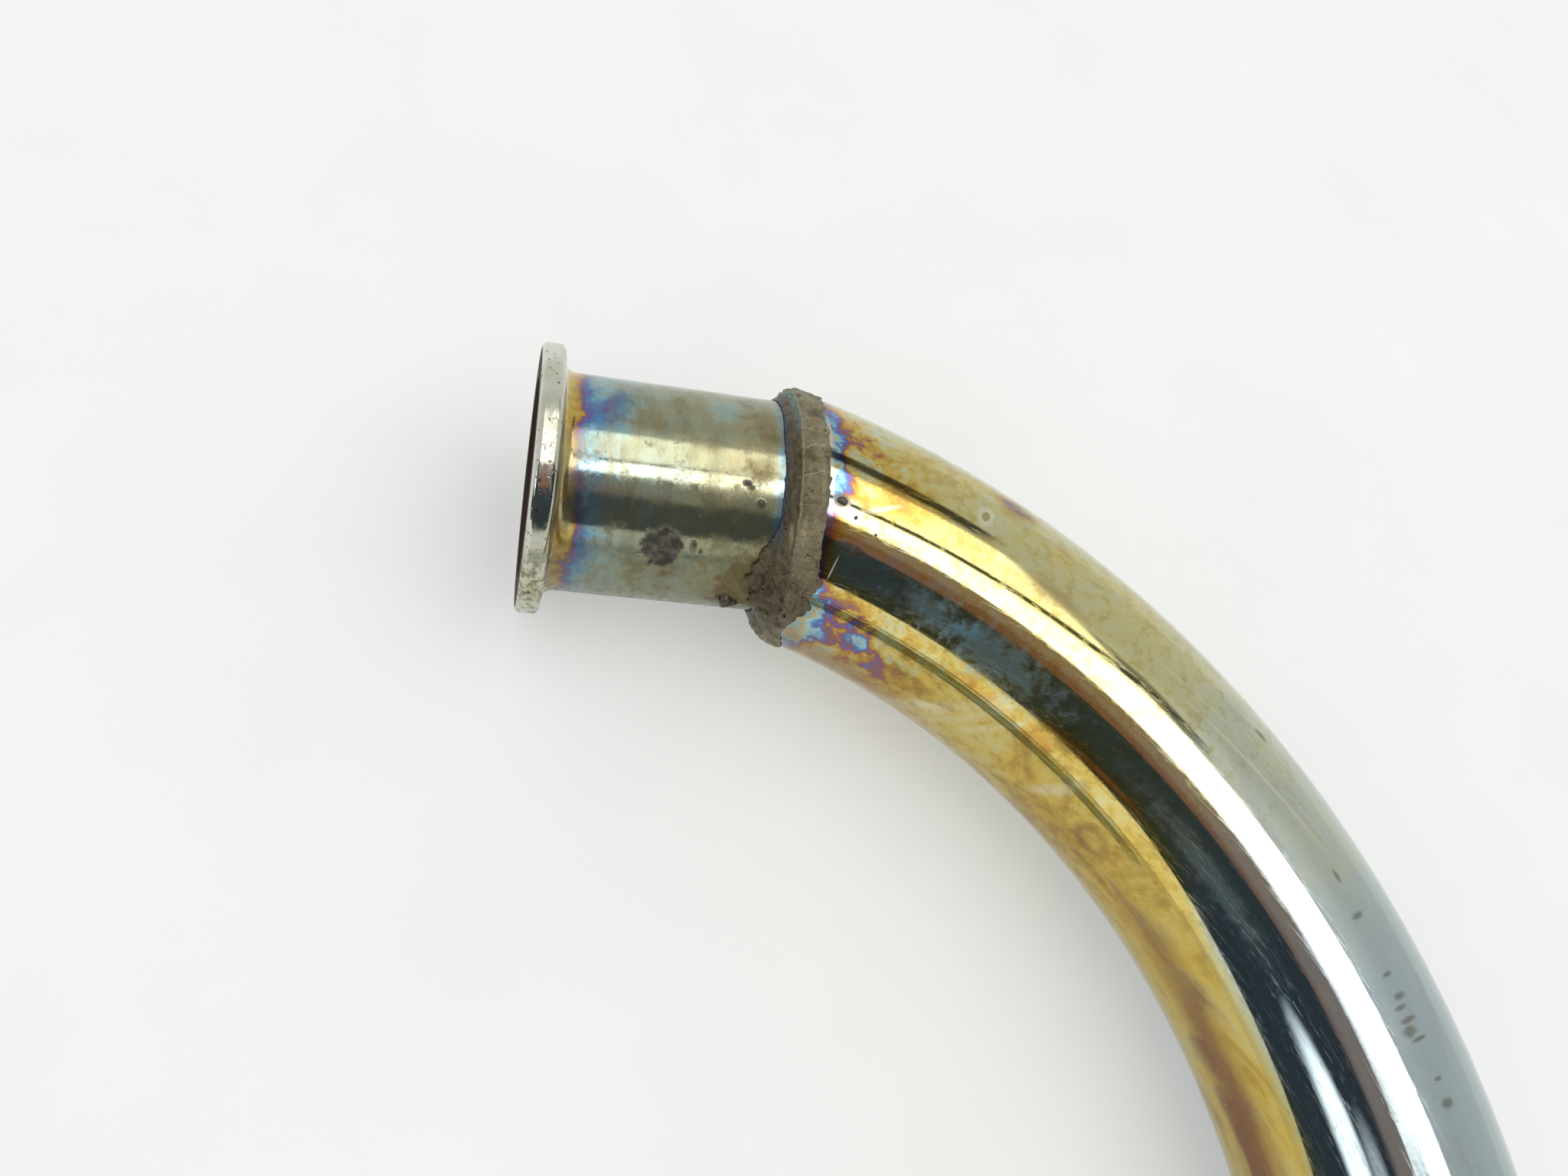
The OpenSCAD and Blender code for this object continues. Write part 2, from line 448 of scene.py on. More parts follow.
def straightened(t, turn, around):
    """A place on the pipe made straight, slightly twisted, so that stretched patterns run as drawn marks do."""
    twisted = t.sum(t.math("RADIANS", around), t.times(turn, MARK_TWIST))
    return t.add("ShaderNodeCombineXYZ", {
        "X": t.times(turn, FRONT_BEND_R * math.radians(1)),
        "Y": t.times(t.math("COSINE", twisted), PIPE_R),
        "Z": t.times(t.math("SINE", twisted), PIPE_R),
    }).outputs[0]


def pipe_chrome():
    """Chrome that the heat has tinted, most of all beside the weld."""
    material, t, shader, position = new_material("pipe_chrome_heat_tinted")
    turn, around, radius = t.group(PIPE_PLACES, Position=position)
    straight = straightened(t, turn, around)
    clouds = t.noise(position, 0.018, detail=4.0, distortion=0.6)
    specks = t.noise(position, 0.0026, detail=6.0, roughness=0.68)
    blots = t.noise(position, 0.0050, detail=6.0, roughness=0.62, distortion=0.3)
    streaks = t.noise(straight, 0.010, detail=5.0, roughness=0.62, distortion=0.9, stretch=(0.35, 1.0, 1.0))
    drawn = t.noise(straight, 0.0016, detail=4.0, roughness=0.7, stretch=(0.05, 1.0, 1.0))
    centred_clouds, centred_specks, centred_streaks, islands, dots = (
        t.minus(value, 0.5)
        for value in (clouds, specks, streaks, t.smooth(blots, 0.34, 0.66), t.smooth(specks, 0.40, 0.60))
    )

    # The inside of the bend stays gold, and the outside clears from olive gold to clean plate.
    cleared = t.smooth(turn, 46.0, 60.0)
    outward = t.math("COSINE", t.math("RADIANS", around))
    inside = t.smooth(t.sum(outward, t.times(cleared, 0.17), t.times(centred_specks, 0.06)), -0.60, -0.72)
    wandering_turn = t.sum(turn, t.times(centred_clouds, 26.0), t.times(centred_streaks, 30.0))
    outer_film = t.blend(t.smooth(wandering_turn, 38.0, 66.0), 0.215, 0.0)
    inner_film = t.blend(t.smooth(wandering_turn, 95.0, 150.0), 0.30, 0.05)

    # Beside the weld the film runs quickly through the temper colours.
    cut_turn = t.minus(15.5, t.times(outward, 2.4))
    past_cut = t.minus(turn, cut_turn)
    near_weld = t.smooth(t.sum(past_cut, t.times(centred_specks, 3.4)), 3.3, 1.2)
    burnt_end = t.smooth(past_cut, 18.0, 4.0)
    film = t.sum(
        t.blend(inside, outer_film, inner_film),
        t.times(near_weld, 0.33),
        patches(t, turn, around, specks, PIPE_FILM_SPOTS),
        t.times(dots, t.blend(burnt_end, t.blend(cleared, 0.035, 0.01), 0.09)),
        t.times(islands, patches(t, turn, around, specks, BROKEN_FILM)),
        t.times(centred_clouds, 0.14),
        t.times(centred_streaks, t.blend(inside, t.blend(cleared, 0.16, 0.03), 0.26)),
    )
    colour = t.group(TEMPER_COLOUR, Film=film)["Color"]

    # Tarnish takes brightness as well as colour, and marks lie over it.
    tarnish = t.sum(
        t.times(t.smooth(specks, 0.48, 0.64), t.blend(cleared, 0.26, 0.06)),
        t.times(t.smooth(streaks, 0.50, 0.66), t.blend(inside, 0.12, 0.36)),
    )
    colour = t.mix(tarnish, colour, (0.20, 0.14, 0.05))
    haze = t.math("MAXIMUM", patches(t, turn, around, streaks, SMOKE_HAZE), 0.0)
    colour = t.mix(haze, colour, (0.215, 0.115, 0.065))
    worn = patches(t, turn, around, streaks, WORN_STREAKS)
    colour = t.mix(t.math("MINIMUM", worn, 0.9), colour, (0.66, 0.66, 0.52))
    colour = t.mix(patches(t, turn, around, specks, [RING_CENTRE]), colour, (0.36, 0.30, 0.12))
    smudges = patches(t, turn, around, specks, DARK_SMUDGES)
    colour = t.mix(t.math("MINIMUM", smudges, 0.9), colour, (0.15, 0.14, 0.115))
    bloom = patches(t, turn, around, specks, BLUE_BLOOM)
    colour = t.mix(t.times(bloom, 0.65), colour, (0.13, 0.34, 0.44))
    scratches = t.near(drawn, 0.5, 0.010, 0.002)
    gouge = patches(t, turn, around, drawn, [GOUGE])
    colour = t.mix(gouge, colour, (0.75, 0.75, 0.72))
    past_end = t.times(t.minus(t.split(position)[0], CUT_X), MM)
    strip = t.times(
        t.near(past_end, PALE_STRIP, 0.5, 0.25),
        t.smooth(around, 58.0, 68.0), t.smooth(around, 112.0, 104.0), t.smooth(turn, 30.0, 25.0),
    )
    colour = t.mix(t.times(strip, 0.8), colour, (0.60, 0.55, 0.42))

    bore = in_bore(t, radius, PIPE_BORE_R)
    soot = t.mix(clouds, (0.035, 0.028, 0.022), (0.10, 0.075, 0.055))
    t.feed(shader["Base Color"], t.mix(bore, colour, soot))
    t.feed(shader["Metallic"], t.blend(bore, t.minus(1.0, t.times(bloom, 0.22)), 0.15))
    rough = t.sum(
        0.03, t.times(bloom, 0.22), t.times(scratches, 0.16), t.times(haze, 0.12), t.times(smudges, 0.25),
        t.times(tarnish, 0.18), t.times(gouge, 0.4), t.times(t.smooth(specks, 0.45, 0.75), 0.06),
    )
    t.feed(shader["Roughness"], t.blend(bore, rough, 0.85))
    height = t.sum(t.times(scratches, -0.25), t.times(specks, t.blend(burnt_end, 0.25, 0.8)))
    t.feed(shader["Normal"], t.bump(height, 0.035, 0.0002))
    return material


# Chrome of the spigot. Patches give mm along, around, half along, half around and so on.

# Film thickness along the spigot, from the lip to the weld: mm, film
SPIGOT_FILM = [
    (4.0, 0.29), (5.6, 0.33), (6.4, 0.39), (7.0, 0.48), (7.8, 0.58),
    (9, 0.66), (12, 0.73), (16, 0.80), (28, 0.83), (44, 0.85),
]
# The weld's toe, beside which the film is thinner, in mm along the spigot
WELD_TOE = 41.2
SPIGOT_FILM_SPOTS = [
    (13.8, 71, 2.2, 12, -0.13, 0.6, 2.2),
    (16.0, 66, 1.3, 9, -0.06, 0.6, 2.2),
    (9.5, 76, 1.2, 9, -0.05, 0.6, 2.2),
    (31, 64, 3, 10, -0.06, 0.6, 2.2),
    (8.5, 155, 2.2, 18, -0.05, 0.6, 1.8),
    (5.3, 163, 1.2, 14, 0.04, 0.6, 1.8),
]
# Where the tint shows through unmuted
VIVID_TINT = [
    (14.0, 70, 2.6, 13, 0.45, 0.6, 2.4),
    (10.0, 82, 2.0, 5, 0.35, 0.6, 2.4),
    (8.5, 156, 2.6, 20, 0.40, 0.6, 2.4),
    (31.0, 66, 2.6, 9, 0.25, 0.6, 2.4),
    (27.5, 158, 3.0, 6, 0.15, 0.6, 2.4),
]
BROWN_DIRT = [
    (38, 162, 4.5, 22, 0.95, 0.4, 2.2),
    (37, 172, 6.5, 14, 0.50, 0.5, 2.2),
    (24, 157, 5, 6, 0.35, 0.6, 2.0),
    (19, 82, 6, 4, 0.35, 0.6, 2.0),
    (28, 88, 3, 4, 0.30, 0.6, 2.0),
    (38.5, 70, 1.6, 14, 0.45, 0.6, 2.0),
    (37.5, 98, 2.0, 6, 0.40, 0.6, 2.4),
]
# The dark burnt spot and its specks
BURNT_SPOTS = [
    (22.3, 143.5, 3.6, 10.5, 1.0, 0.14, 1.3),
    (27.4, 141, 0.7, 3, 0.7, 0.3, 0.8),
    (28.8, 143, 0.4, 1.5, 0.6, 0.3, 0.8),
    (37.6, 115, 0.9, 2.3, 0.8, 0.3, 0.6),
    (35.0, 105.5, 0.8, 1.5, 0.8, 0.3, 0.8),
    (35.8, 107.5, 0.5, 1.2, 0.7, 0.3, 0.8),
]
# Where the lathe's marks still show beside the weld
LATHE_MARKS = (35, 113, 5.5, 7, 1.0, 0.4, 0.6)
# Radii between which the soot on the mouth's face ends, in mm
FACE_SOOT = (22.9, 22.2)


def spigot_chrome():
    """Burnt and dirty chrome, with the lip rubbed bright and soot in the mouth."""
    material, t, shader, position = new_material("spigot_chrome_burnt")
    along, around, radius = t.group(SPIGOT_PLACES, Position=position)
    clouds = t.noise(position, 0.008, detail=6.0, roughness=0.62, distortion=0.5)
    specks = t.noise(position, 0.0020, detail=6.0, roughness=0.72)
    wiped = t.noise(position, 0.0035, detail=4.0, roughness=0.65, stretch=(1.0, 0.35, 0.35))
    centred_clouds = t.minus(clouds, 0.5)
    centred_specks = t.minus(specks, 0.5)

    # From the lip the film thickens through orange, magenta and blue to an olive second order.
    front = t.sum(along, t.times(centred_clouds, 5.5), t.times(centred_specks, 2.5))
    end = SPIGOT_FILM[-1][0]
    film = t.sum(
        t.ramp(t.over(front, end), [(place / end, (film,) * 3) for place, film in SPIGOT_FILM]),
        t.times(t.near(along, WELD_TOE, 1.7, 0.5), -0.17),
        t.times(centred_specks, 0.16),
        t.times(centred_clouds, 0.22),
        patches(t, along, around, clouds, SPIGOT_FILM_SPOTS),
    )
    colour = t.group(TEMPER_COLOUR, Film=film)["Color"]
    middle = t.times(t.smooth(around, 82.0, 96.0), t.smooth(around, 142.0, 134.0))
    muted = t.blend(t.smooth(along, 6.0, 13.0), t.blend(middle, 0.15, 0.50), t.blend(middle, 0.48, 0.66))
    muted = t.sum(muted, t.times(t.minus(t.smooth(wiped, 0.42, 0.58), 0.5), 0.36))
    vivid = patches(t, along, around, specks, VIVID_TINT)
    colour = t.mix(t.math("MAXIMUM", t.minus(muted, vivid), 0.0), colour, (0.30, 0.29, 0.19))
    lower_side = t.smooth(around, 136.0, 156.0)
    colour = t.mix(t.times(lower_side, 0.50), colour, (0.11, 0.125, 0.085))
    upper_side = t.times(t.smooth(around, 86.0, 78.0), t.smooth(along, 8.0, 14.0))
    colour = t.mix(t.times(upper_side, 0.35), colour, (0.15, 0.165, 0.13))

    grime = t.smooth(t.noise(position, 0.0042, detail=7.0, roughness=0.72), 0.50, 0.66)
    dirt = t.sum(
        t.times(grime, 0.50),
        t.times(t.smooth(wiped, 0.52, 0.68), 0.25),
        patches(t, along, around, specks, BROWN_DIRT),
    )
    dirt = t.math("MINIMUM", dirt, 0.9)
    colour = t.mix(dirt, colour, (0.17, 0.13, 0.05))
    burnt = patches(t, along, around, specks, BURNT_SPOTS)
    crust = t.mix(t.smooth(specks, 0.40, 0.66), (0.016, 0.013, 0.012), (0.14, 0.115, 0.092))
    colour = t.mix(t.times(burnt, 0.92), colour, crust)

    # The lip is rubbed bright again by its clamp, with dark pits.
    lip = t.smooth(along, MM * LIP_BACK + 0.9, MM * LIP_BACK + 0.1)
    pits = t.smooth(t.noise(position, 0.0010, detail=3.0), 0.61, 0.70)
    lip_colour = t.mix(t.smooth(clouds, 0.35, 0.65), (0.66, 0.66, 0.60), (0.54, 0.53, 0.40))
    crumbs = t.smooth(t.noise(position, 0.0014, detail=6.0, roughness=0.72), 0.42, 0.62)
    lip_dirt = t.times(t.smooth(around, 140.0, 156.0), crumbs)
    lip_colour = t.mix(t.times(lip_dirt, 0.8), lip_colour, (0.15, 0.135, 0.05))
    lip_colour = t.mix(t.times(pits, 0.85), lip_colour, (0.06, 0.05, 0.04))
    colour = t.mix(lip, colour, lip_colour)

    face = t.times(t.smooth(along, 0.35, 0.05), t.smooth(radius, *FACE_SOOT))
    sooty = t.math("MAXIMUM", face, in_bore(t, radius, SPIGOT_BORE_R))
    soot = t.mix(clouds, (0.030, 0.022, 0.018), (0.095, 0.062, 0.045))
    t.feed(shader["Base Color"], t.mix(sooty, colour, soot))
    dull = t.math("MAXIMUM", sooty, t.times(burnt, 0.75))
    dusty = t.times(t.minus(1.0, lip), t.blend(dirt, 0.10, 0.35))
    t.feed(shader["Metallic"], t.blend(dull, t.minus(1.0, dusty), 0.1))
    turned = patches(t, along, around, clouds, [LATHE_MARKS])
    rough = t.sum(
        0.06, t.times(t.smooth(specks, 0.4, 0.7), 0.10), t.times(dirt, 0.35), t.times(lip_dirt, 0.25),
        t.times(turned, 0.14), t.times(burnt, 0.35), t.times(lower_side, 0.06),
    )
    t.feed(shader["Roughness"], t.blend(sooty, rough, 0.9))
    grooves = t.noise(position, 0.0005, detail=2.0, stretch=(1.0, 0.03, 0.03))
    height = t.sum(
        t.times(specks, 0.35),
        t.times(dirt, 0.5),
        t.times(pits, lip, -1.2),
        t.times(grooves, t.sum(t.times(turned, 1.6), 0.08)),
        t.times(burnt, t.sum(specks, 0.6)),
    )
    t.feed(shader["Normal"], t.bump(height, 0.14, 0.0003))
    return material


# Weld metal

# Cracks across the band between its frozen plates: degrees round the joint
CRACKS = [
    12, 24, 33, 45, 57, 66, 75.5, 83.5, 97, 104.5, 111, 118, 126, 192,
    204, 213, 225, 238, 247, 259, 270, 283, 295, 304, 318, 330, 341, 352,
]
CRACK_HALF = 0.75
# The heap near the inside of the bend, its pinhole and the ridge: mm past the pipe's cut end, degrees round
HEAP_AT, HEAP_SPREAD = 158, 34
PINHOLE = (0.1, 163)
RIDGE_AT = -0.7
# The band is thin, and no crack opens it down to the pipe: mm
DEEPEST_CRACK = -0.05
# Where the band's edge wanders most, and how far round that spreads
RAGGED_EDGE = (148, 30)
# Pale lines along the ridge and the cracks, and in the last two rows painted highlights where the metal glints:
# mm past the pipe's cut end, around and so on
PALE_LINES_AND_HIGHLIGHTS = [
    (1.3, 75.5, 2.3, 0.45, 0.7, 0.6, 0.9, 0.5),
    (1.3, 84.0, 2.4, 0.55, 0.9, 0.6, 0.9, -0.4),
    (1.2, 97.5, 2.4, 0.50, 0.9, 0.6, 0.9, -0.6),
    (0.9, 111.0, 2.0, 0.35, 0.5, 0.6, 0.9),
    (2.8, 101.0, 0.4, 9.0, 0.5, 0.6, 1.2),
    # These last two rows are painted highlights, where the metal glints.
    (0.2, 122.0, 0.35, 6.0, 0.8, 0.6, 1.4),
    (-1.4, 126.0, 0.3, 5.0, 0.8, 0.6, 1.4),
]


def swell(value, at, spread):
    """1 at a place, falling smoothly to 0 at spread from it."""
    off = min(abs(value - at) / spread, 1)
    return 0.5 + 0.5 * math.cos(math.pi * off)


def frozen_height(past_cut, around, place):
    """How far the weld's skin stands above or below its plain form, in mm."""
    heap = swell(around, HEAP_AT, HEAP_SPREAD)
    mm = place * MM
    height = 0.26 * noise.noise(mm * 0.45) + 0.18 * noise.noise(mm * 1.1) + 0.08 * noise.noise(mm * 2.3)
    lumps = 0.95 * noise.noise(mm * 0.30 + Vector((7, 3, 1))) + 0.85 * noise.noise(mm * 0.70)
    height += heap * (lumps + 0.36 * noise.noise(mm * 1.6))
    if past_cut > RIDGE_AT:
        lean = 3.0 * noise.noise(mm * 0.3)
        nearest = min(CRACKS, key=lambda crack: abs(around + lean - crack))
        off = (around + lean - nearest) / CRACK_HALF
        height += (1 - heap) * (-0.18 * math.exp(-off * off) + 0.10 * math.exp(-((abs(off) - 2) ** 2)))
        plate = sum(1 for crack in CRACKS if crack < around + lean)
        height += (1 - heap) * (0.10 * math.sin(plate * 2.4) + 0.05 * math.sin(plate * 5.1) * past_cut)
        height = max(height, DEEPEST_CRACK)
    height += 0.12 * swell(past_cut, RIDGE_AT, 0.5) * (1 - heap)
    hole = math.hypot(past_cut - PINHOLE[0], (around - PINHOLE[1]) * 0.38)
    height -= 0.9 * math.exp(-((hole / 0.32) ** 2)) - 0.2 * math.exp(-((hole / 0.75) ** 2))
    return height


def weld_places():
    """Where a point of the weld lies: mm past the pipe's cut end, and degrees round the joint."""
    group, t, given, out = new_group(
        "weld_places", {"Position": "Vector"}, {"Past Cut": "Float", "Around": "Float"}
    )
    x, y, z = t.split(given["Position"])
    t.feed(out["Past Cut"], t.times(t.minus(x, CUT_X), MM))
    t.feed(out["Around"], t.degrees_round(t.minus(y, WELD_AXIS_Y), z))
    return group


def weld_steel():
    """Dull grey-brown weld metal under its scale."""
    material, t, shader, position = new_material("weld_steel_scaled")
    past_cut, around = t.group(weld_places(), Position=position)
    clouds = t.noise(position, 0.0035, detail=5.0, roughness=0.6)
    grain = t.noise(position, 0.0007, detail=5.0, roughness=0.7)
    plates = t.add(
        "ShaderNodeTexVoronoi", {"Vector": position, "Scale": 330.0, "Randomness": 0.9}, feature="F1"
    ).outputs["Color"]
    colour = t.ramp(clouds, [
        (0.28, (0.080, 0.064, 0.038)),
        (0.43, (0.20, 0.175, 0.105)),
        (0.56, (0.31, 0.28, 0.175)),
        (0.72, (0.31, 0.235, 0.155)),
    ])
    colour = t.mix(t.times(t.split(plates)[0], 0.28), colour, (0.26, 0.185, 0.115))

    # The hollow face before the ridge is darkened with painted shade, as if shade fell in the hollow, and a
    # teal tint lies on the outside of the bend.
    face = t.smooth(past_cut, RIDGE_AT + 0.3, RIDGE_AT - 0.5)
    outside = t.math("MAXIMUM", t.smooth(around, 88.0, 55.0), t.smooth(around, 300.0, 330.0))
    # Painted shade: the hollow face's colour is darkened where shade would fall in it.
    colour = t.mix(t.times(face, 0.6), colour, (0.072, 0.054, 0.038))
    tint = t.times(outside, t.near(past_cut, -0.9, 0.9, 0.2))
    colour = t.mix(t.times(tint, 0.75), colour, (0.17, 0.27, 0.27))
    heap = t.times(t.smooth(around, 122.0, 140.0), t.smooth(around, 196.0, 184.0))
    toe = t.times(t.smooth(past_cut, -2.1, -3.0), t.minus(1.0, heap))
    colour = t.mix(t.times(toe, 0.7), colour, (0.06, 0.085, 0.15))
    colour = t.mix(t.times(heap, 0.4), colour, (0.145, 0.120, 0.075))

    # Pale lines, with two painted highlights among them, and dark specks of slag.
    wobble = t.times(t.minus(clouds, 0.5), 7.0)
    pale_lines_and_highlights = patches(t, past_cut, t.sum(around, wobble), grain, PALE_LINES_AND_HIGHLIGHTS)
    off_ridge = t.math("ABSOLUTE", t.sum(t.minus(past_cut, RIDGE_AT), t.times(wobble, 0.06)))
    ridge_line = t.times(t.smooth(off_ridge, 0.22, 0.06), 0.6, t.minus(1.0, heap))
    colour = t.mix(t.math("MINIMUM", t.sum(pale_lines_and_highlights, ridge_line), 0.85), colour, (0.44, 0.37, 0.24))
    colour = t.mix(t.smooth(grain, 0.66, 0.80), colour, (0.36, 0.31, 0.22))
    slag = t.smooth(grain, 0.40, 0.30)
    colour = t.mix(slag, colour, (0.03, 0.024, 0.02))
    t.feed(shader["Base Color"], colour)
    shader["Metallic"].default_value = 0.8
    t.feed(shader["Roughness"], t.blend(clouds, 0.12, 0.36))
    scale = t.noise(position, 0.0018, detail=4.0, roughness=0.6)
    height = t.sum(grain, t.times(scale, 1.6), t.times(slag, -0.5))
    t.feed(shader["Normal"], t.bump(height, 0.7, 0.0007))
    return material


def deselect_all():
    for thing in bpy.context.scene.objects:
        thing.select_set(False)


def take(piece):
    """Selects only this piece."""
    deselect_all()
    piece.select_set(True)
    bpy.context.view_layer.objects.active = piece


def apply_modifier(piece, kind, **settings):
    take(piece)
    modifier = piece.modifiers.new(kind.lower(), kind)
    for name, value in settings.items():
        setattr(modifier, name, value)
    bpy.ops.object.modifier_apply(modifier=modifier.name)


def clamped(value):
    """The value, held between 0 and 1."""
    return max(0.0, min(1.0, value))


def weld_bead(material):
    """The bead as it froze: the CAD weld's form with scaly plates, cracks, a ridge line and a lumpy heap."""
    piece = bpy.data.objects.new("weld_bead", frame["nodes"]["joint_weld"].data.copy())
    bpy.context.scene.collection.objects.link(piece)
    take(piece)
    bpy.ops.object.mode_set(mode="EDIT")
    bpy.ops.mesh.select_all(action="SELECT")
    bpy.ops.mesh.remove_doubles(threshold=1e-6)
    bpy.ops.object.mode_set(mode="OBJECT")
    apply_modifier(piece, "SUBSURF", levels=2, render_levels=2)
    outward = [v.normal.copy() for v in piece.data.vertices]
    for vertex, normal in zip(piece.data.vertices, outward):
        radial = Vector((0, vertex.co.y - WELD_AXIS_Y, vertex.co.z))
        facing_out = clamped(1.6 * normal.dot(radial.normalized()) + 0.5)
        around = math.degrees(math.atan2(radial.z, radial.y)) % 360
        past_cut = MM * (vertex.co.x - CUT_X)
        lift = normal * facing_out * frozen_height(past_cut, around, vertex.co)
        # Both edges wander along the tubes, most of all beside the heap.
        mm = vertex.co * MM
        wander = noise.noise(mm * 0.45) * 0.5 + noise.noise(mm * 1.1) * 0.3
        heading = math.atan2(vertex.co.x - FRONT_CENTRE.x, vertex.co.y - FRONT_CENTRE.y)
        along_pipe = Vector((math.cos(heading), -math.sin(heading), 0))
        to_edge = clamped((past_cut - 1.0) / 2.0)
        lift += along_pipe * to_edge * wander * (0.45 + 2.4 * swell(around, *RAGGED_EDGE))
        to_toe = clamped((-1.5 - past_cut) / 1.5)
        lift += Vector((1, 0, 0)) * to_toe * wander * (0.5 + 2.0 * swell(around, HEAP_AT, HEAP_SPREAD))
        vertex.co += lift / MM
    piece.data.materials.clear()
    piece.data.materials.append(material)
    for polygon in piece.data.polygons:
        polygon.use_smooth = True
    return piece


def spatter_glass():
    """Dark glassy slag of the spatter beads."""
    material, t, shader, position = new_material("spatter_dark_slag")
    grain = t.noise(position, 0.0006, detail=4.0)
    t.feed(shader["Base Color"], t.mix(grain, (0.012, 0.010, 0.010), (0.12, 0.095, 0.075)))
    t.feed(shader["Roughness"], t.blend(grain, 0.08, 0.4))
    t.feed(shader["Normal"], t.bump(grain, 0.4, 0.0002))
    return material


# Spatter beads: place on the tube's skin, half width, half length round the tube and height in mm
SPATTER_ON_SPIGOT = [
    (35.3, 178, 1.3, 1.2, 1.5), (36.9, 181, 0.8, 0.9, 0.9), (33.9, 176, 0.45, 0.5, 0.5),
    (27.6, 140, 0.4, 0.5, 0.25), (28.7, 143.5, 0.25, 0.25, 0.2), (37.6, 115, 0.55, 0.75, 0.2),
    (35.1, 105.5, 0.35, 0.4, 0.2),
]
SPATTER_ON_PIPE = [(18.35, 102, 0.95, 0.65, 0.35), (19.6, 106.5, 0.3, 0.4, 0.2), (21.3, 109.5, 0.25, 0.25, 0.2)]


def spatter(material):
    """Frozen drops beside the weld, each sunk by half into the skin that carries it, joined as one piece."""
    beads = []
    placed = [(on_spigot, SPIGOT_R, along / MM, *rest) for along, *rest in SPATTER_ON_SPIGOT]
    placed += [(on_pipe, PIPE_R, *rest) for rest in SPATTER_ON_PIPE]
    for on_tube, tube_r, along, around, half_width, half_round, height in placed:
        place = on_tube(along, around, tube_r)
        outward = place - on_tube(along, around, 0)
        deselect_all()
        bpy.ops.mesh.primitive_uv_sphere_add(segments=24, ring_count=16, radius=1)
        bead = bpy.context.object
        turn = outward.to_track_quat("Z", "X").to_matrix()
        for vertex in bead.data.vertices:
            x, y, z = vertex.co
            lumpy = 1 + 0.22 * noise.noise(vertex.co * 1.4 + place * 3000)
            vertex.co = place + turn @ Vector((y * half_round, x * half_width, z * height)) * lumpy / MM
        bead.data.polygons.foreach_set("use_smooth", [True] * len(bead.data.polygons))
        beads.append(bead)
    deselect_all()
    for bead in beads:
        bead.select_set(True)
    bpy.context.view_layer.objects.active = beads[0]
    bpy.ops.object.join()
    piece = bpy.context.object
    piece.name = "weld_spatter"
    piece.data.materials.clear()
    piece.data.materials.append(material)
    return piece


# Floor, light and camera

# The share of the floor's paleness that only the camera and reflections see, so its shadow is faint
FLOOR_GLOW = 0.35


def pale_floor():
    """A pale floor that the header lies on."""
    bpy.ops.mesh.primitive_plane_add(size=6, location=(0.05, -0.15, FLOOR_Z))
    floor = bpy.context.object
    floor.name = "floor"
    material, t, shader, position = new_material("pale_floor")
    pale = t.mix(t.noise(position, 0.05, detail=4.0), (0.88, 0.89, 0.87), (0.95, 0.96, 0.94))
    t.feed(shader["Base Color"], t.mix(1.0, pale, (1 - FLOOR_GLOW,) * 3, "MULTIPLY"))
    t.feed(shader["Emission Color"], pale)
    paths = t.add("ShaderNodeLightPath").outputs
    seen = t.math("MAXIMUM", paths["Is Camera Ray"], paths["Is Glossy Ray"])
    t.feed(shader["Emission Strength"], t.times(seen, FLOOR_GLOW))
    shader["Roughness"].default_value = 0.95
    shader["Specular IOR Level"].default_value = 0.1
    floor.data.materials.append(material)
    return floor


# The lamp's share of the light, the rest of which comes evenly from all round
LAMP_SHARE = 0.25
LAMP_DIRECTION = Vector((0.27, -0.04, 0.96))


def soft_lamp():
    """One broad even lamp over the header. Its mirror image in the chrome is a window painted in the world."""
    data = bpy.data.lights.new("overhead_light", "SUN")
    data.angle = math.radians(60)
    data.energy = LAMP_SHARE * math.pi
    lamp = bpy.data.objects.new("overhead_light", data)
    lamp.rotation_euler = LAMP_DIRECTION.to_track_quat("Z", "Y").to_euler()
    lamp.visible_glossy = False
    bpy.context.scene.collection.objects.link(lamp)


# What the chrome mirrors from above, each over the ones before it: shape, place, half size, lean in degrees,
# softness and brightness. Places are seen from above, as the X and Y of a direction.
MIRRORED = [
    # The brown side of the room, its paler middle and its grey end
    ("oval", (0.08, -0.29), (0.27, 0.25), 0, 0.05, (0.30, 0.165, 0.125)),
    ("oval", (0.10, -0.22), (0.30, 0.13), 8, 0.25, (0.40, 0.31, 0.28)),
    ("oval", (0.21, -0.33), (0.14, 0.24), 0, 0.10, (0.40, 0.42, 0.41)),
    # A small window in the dark side, its glow and a brown streak
    ("oval", (-0.585, -0.39), (0.095, 0.105), 19, 0.35, (2.6, 2.7, 2.8)),
    ("oval", (-0.40, -0.325), (0.07, 0.03), 19, 0.6, (0.8, 0.84, 0.9)),
    ("oval", (-0.46, -0.76), (0.06, 0.018), -42, 0.4, (0.20, 0.10, 0.07)),
    # The glow beside the windows, the upper window, its frame and the bar below it
    ("oval", (0.46, 0.10), (0.20, 0.16), 0, 0.8, (0.95, 0.96, 0.95)),
    ("oval", (0.38, 0.17), (0.11, 0.07), 40, 0.25, (0.34, 0.35, 0.34)),
    ("panel", (0.20, 0.27), (0.20, 0.23), -12, 0.02, (2.6, 2.55, 2.35)),
    ("panel", (0.36, 0.615), (0.13, 0.05), -40, 0.02, (0.10, 0.10, 0.09)),
    ("panel", (0.22, 0.085), (0.27, 0.020), 22, 0.01, (0.12, 0.12, 0.11)),
]
# Panels that make up the main window: place, half size, lean and softness
MAIN_WINDOW = [((0.25, -0.05), (0.25, 0.10), 16, 0.012), ((0.38, -0.10), (0.16, 0.07), 5, 0.012)]


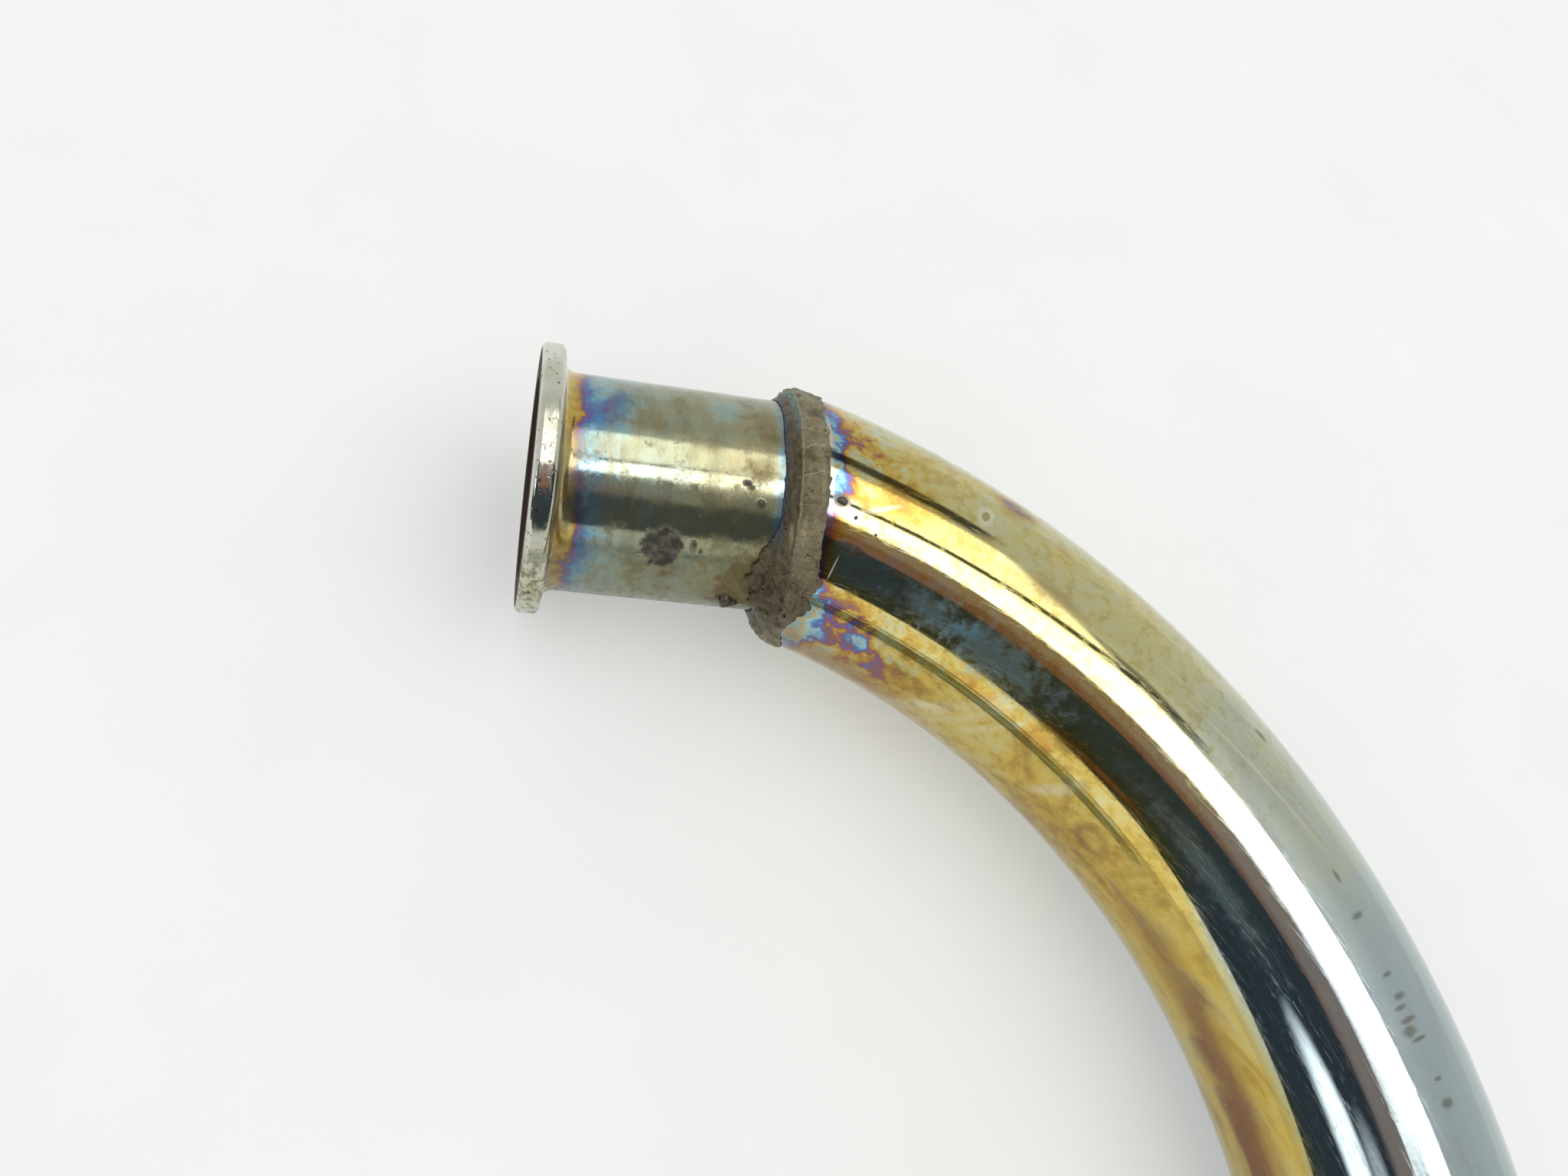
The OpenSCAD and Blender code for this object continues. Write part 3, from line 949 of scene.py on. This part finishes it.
def studio_world():
    """Plain even light, and for reflections the room round the header: windows, a dark side and pale walls."""
    world = bpy.data.worlds.new("studio")
    world.use_nodes = True
    world.node_tree.nodes.clear()
    t = Tree(world.node_tree)
    x, y, z = t.split(t.add("ShaderNodeTexCoord").outputs["Generated"])
    above = t.math("GREATER_THAN", z, 0.0)

    def leaning(at, lean):
        """Places from a point along and across axes that lean, as seen from above."""
        c, s = math.cos(math.radians(lean)), math.sin(math.radians(lean))
        along = t.minus(t.sum(t.times(x, c), t.times(y, s)), at[0] * c + at[1] * s)
        across = t.minus(t.sum(t.times(y, c), t.times(x, -s)), at[1] * c - at[0] * s)
        return along, across

    def panel(at, half, lean, soft):
        """A soft-edged rectangle."""
        bands = (t.near(place, 0.0, size + soft, size - soft) for place, size in zip(leaning(at, lean), half))
        return t.times(*bands, above)

    def oval(at, half, lean, soft):
        """A soft-edged oval."""
        u, v = (t.over(place, size) for place, size in zip(leaning(at, lean), half))
        return t.times(t.smooth(t.length(u, v), 1 + soft, 1 - soft), above)

    wall = t.mix(t.smooth(z, 0.0, 0.9), (0.80, 0.81, 0.78), (0.72, 0.73, 0.72))
    # The dark side of the room, with its lower edge a little above the floor's horizon
    rim = t.minus(0.37, t.times(t.math("MAXIMUM", t.minus(-0.55, x), 0.0), 0.7))
    above_rim = t.smooth(t.minus(z, rim), -0.012, 0.012)
    dark_half = t.smooth(t.minus(y, t.times(x, 0.1)), -0.17, -0.23)
    sky = t.mix(t.times(above_rim, dark_half), wall, (0.050, 0.066, 0.080))
    for shape, at, half, lean, soft, brightness in MIRRORED:
        mask = panel(at, half, lean, soft) if shape == "panel" else oval(at, half, lean, soft)
        sky = t.mix(mask, sky, brightness)
    window = t.math("MAXIMUM", *(panel(*form) for form in MAIN_WINDOW))
    window_top = t.smooth(t.sum(y, t.times(x, 1.35)), 0.575, 0.555)
    sky = t.mix(t.times(window, window_top), sky, (4.5, 4.5, 4.5))
    # The wall's foot is bright, down to the thin dark joint where it meets the floor.
    joint_height = t.blend(t.smooth(x, 0.05, -0.1), 0.030, 0.085)
    foot = t.times(
        t.smooth(t.minus(z, rim), 0.012, -0.012), t.smooth(t.minus(z, joint_height), -0.004, 0.004),
        dark_half, t.smooth(x, 0.0, -0.25), t.smooth(x, -0.85, -0.65),
    )
    sky = t.mix(foot, sky, (1.25, 1.25, 1.18))
    joint = t.times(t.near(z, joint_height, 0.008, 0.004), t.smooth(y, -0.3, -0.6), t.smooth(x, -0.8, -0.5))
    sky = t.mix(joint, sky, (0.10, 0.09, 0.07))

    paths = t.add("ShaderNodeLightPath").outputs
    light = t.mix(paths["Is Glossy Ray"], (1 - LAMP_SHARE,) * 3, sky)
    light = t.mix(paths["Is Camera Ray"], light, (0.91, 0.92, 0.91))
    background = t.add("ShaderNodeBackground", {"Color": light, "Strength": 1.0})
    output = t.add("ShaderNodeOutputWorld")
    world.node_tree.links.new(background.outputs[0], output.inputs[0])
    bpy.context.scene.world = world


def photo_camera():
    data = bpy.data.cameras.new("camera")
    data.sensor_width = 36
    data.lens = CAMERA_LENS
    data.clip_start = 0.01
    camera = bpy.data.objects.new("camera", data)
    camera.location = CAMERA_PLACE
    camera.rotation_euler = [math.radians(a) for a in CAMERA_TURN]
    bpy.context.scene.collection.objects.link(camera)
    bpy.context.scene.camera = camera


# The scene

photo_camera()
bpy.context.scene.view_settings.view_transform = "Standard"
studio_world()
soft_lamp()
pale_floor()

for node, material in (("header_pipe", pipe_chrome()), ("port_spigot", spigot_chrome())):
    tube = frame["nodes"][node]
    tube.data.materials.clear()
    tube.data.materials.append(material)

weld = weld_bead(weld_steel())
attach(weld, "root")
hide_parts("joint_weld")

drops = spatter(spatter_glass())
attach(drops, "root")
